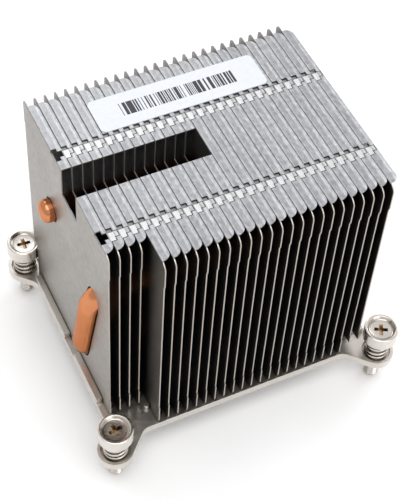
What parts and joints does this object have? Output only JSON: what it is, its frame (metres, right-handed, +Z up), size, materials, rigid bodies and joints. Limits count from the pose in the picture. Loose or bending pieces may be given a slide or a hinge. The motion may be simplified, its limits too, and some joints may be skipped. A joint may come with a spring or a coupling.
{
  "type": "processor heatsink",
  "caption": "Processor heatsink: interlocked aluminium fins, copper heat pipes, a base block, and a steel bracket with sprung screws at its corners.",
  "frame": {"origin": "centre of the screw pattern on the contact face that rests on the processor", "axes": "+Z up from the contact face, +X across the fins, +Y along the fins to the rear"},
  "size_m": [0.0842, 0.0722, 0.0755],
  "materials": {
    "fin_aluminium": "satin rolled sheet",
    "aluminium_block": "machined",
    "copper_pipe": "smooth drawn copper",
    "copper_base": "ground copper",
    "nickel_steel": "nickel plated",
    "screw_nickel": "polished nickel",
    "spring_steel": "bright wire",
    "label_paper": "white sticker"
  },
  "bodies": {
    "heatsink": {"contact_plate": "copper_base", "base_block": "aluminium_block", "mounting_bracket": "nickel_steel", "bracket_rivet": "nickel_steel", "heat_pipe_front": "copper_pipe", "heat_pipe_rear": "copper_pipe", "label": "label_paper", "fin_01": "fin_aluminium", "fin_02": "fin_aluminium", "fin_03": "fin_aluminium", "fin_04": "fin_aluminium", "fin_05": "fin_aluminium", "fin_06": "fin_aluminium", "fin_07": "fin_aluminium", "fin_08": "fin_aluminium", "fin_09": "fin_aluminium", "fin_10": "fin_aluminium", "fin_11": "fin_aluminium", "fin_12": "fin_aluminium", "fin_13": "fin_aluminium", "fin_14": "fin_aluminium", "fin_15": "fin_aluminium", "fin_16": "fin_aluminium", "fin_17": "fin_aluminium", "fin_18": "fin_aluminium", "fin_19": "fin_aluminium", "fin_20": "fin_aluminium", "fin_21": "fin_aluminium", "fin_22": "fin_aluminium", "fin_23": "fin_aluminium", "fin_24": "fin_aluminium", "fin_25": "fin_aluminium", "fin_26": "fin_aluminium", "fin_27": "fin_aluminium", "spring_front_left": "spring_steel", "spring_front_right": "spring_steel", "spring_rear_left": "spring_steel", "spring_rear_right": "spring_steel"},
    "clip_front_left": {"clip_front_left": "spring_steel"},
    "screw_front_left": {"screw_front_left": "screw_nickel"},
    "clip_front_right": {"clip_front_right": "spring_steel"},
    "screw_front_right": {"screw_front_right": "screw_nickel"},
    "clip_rear_left": {"clip_rear_left": "spring_steel"},
    "screw_rear_left": {"screw_rear_left": "screw_nickel"},
    "clip_rear_right": {"clip_rear_right": "spring_steel"},
    "screw_rear_right": {"screw_rear_right": "screw_nickel"}
  },
  "joints": [
    {"name": "press_front_left", "type": "slide", "parent": "heatsink", "child": "clip_front_left", "axis": [0, 0, 1], "range_m": [-0.0035, 0], "stiffness_N_per_m": 1500, "springref_m": 0.002, "deforming": ["spring_front_left"]},
    {"name": "turn_front_left", "type": "hinge", "parent": "clip_front_left", "child": "screw_front_left", "pos_m": [-0.0375, -0.0315, 0], "axis": [0, 0, 1], "continuous": true},
    {"name": "press_front_right", "type": "slide", "parent": "heatsink", "child": "clip_front_right", "axis": [0, 0, 1], "range_m": [-0.0035, 0], "stiffness_N_per_m": 1500, "springref_m": 0.002, "deforming": ["spring_front_right"]},
    {"name": "turn_front_right", "type": "hinge", "parent": "clip_front_right", "child": "screw_front_right", "pos_m": [0.0375, -0.0315, 0], "axis": [0, 0, 1], "continuous": true},
    {"name": "press_rear_left", "type": "slide", "parent": "heatsink", "child": "clip_rear_left", "axis": [0, 0, 1], "range_m": [-0.0035, 0], "stiffness_N_per_m": 1500, "springref_m": 0.002, "deforming": ["spring_rear_left"]},
    {"name": "turn_rear_left", "type": "hinge", "parent": "clip_rear_left", "child": "screw_rear_left", "pos_m": [-0.0375, 0.0315, 0], "axis": [0, 0, 1], "continuous": true},
    {"name": "press_rear_right", "type": "slide", "parent": "heatsink", "child": "clip_rear_right", "axis": [0, 0, 1], "range_m": [-0.0035, 0], "stiffness_N_per_m": 1500, "springref_m": 0.002, "deforming": ["spring_rear_right"]},
    {"name": "turn_rear_right", "type": "hinge", "parent": "clip_rear_right", "child": "screw_rear_right", "pos_m": [0.0375, 0.0315, 0], "axis": [0, 0, 1], "continuous": true}
  ]
}
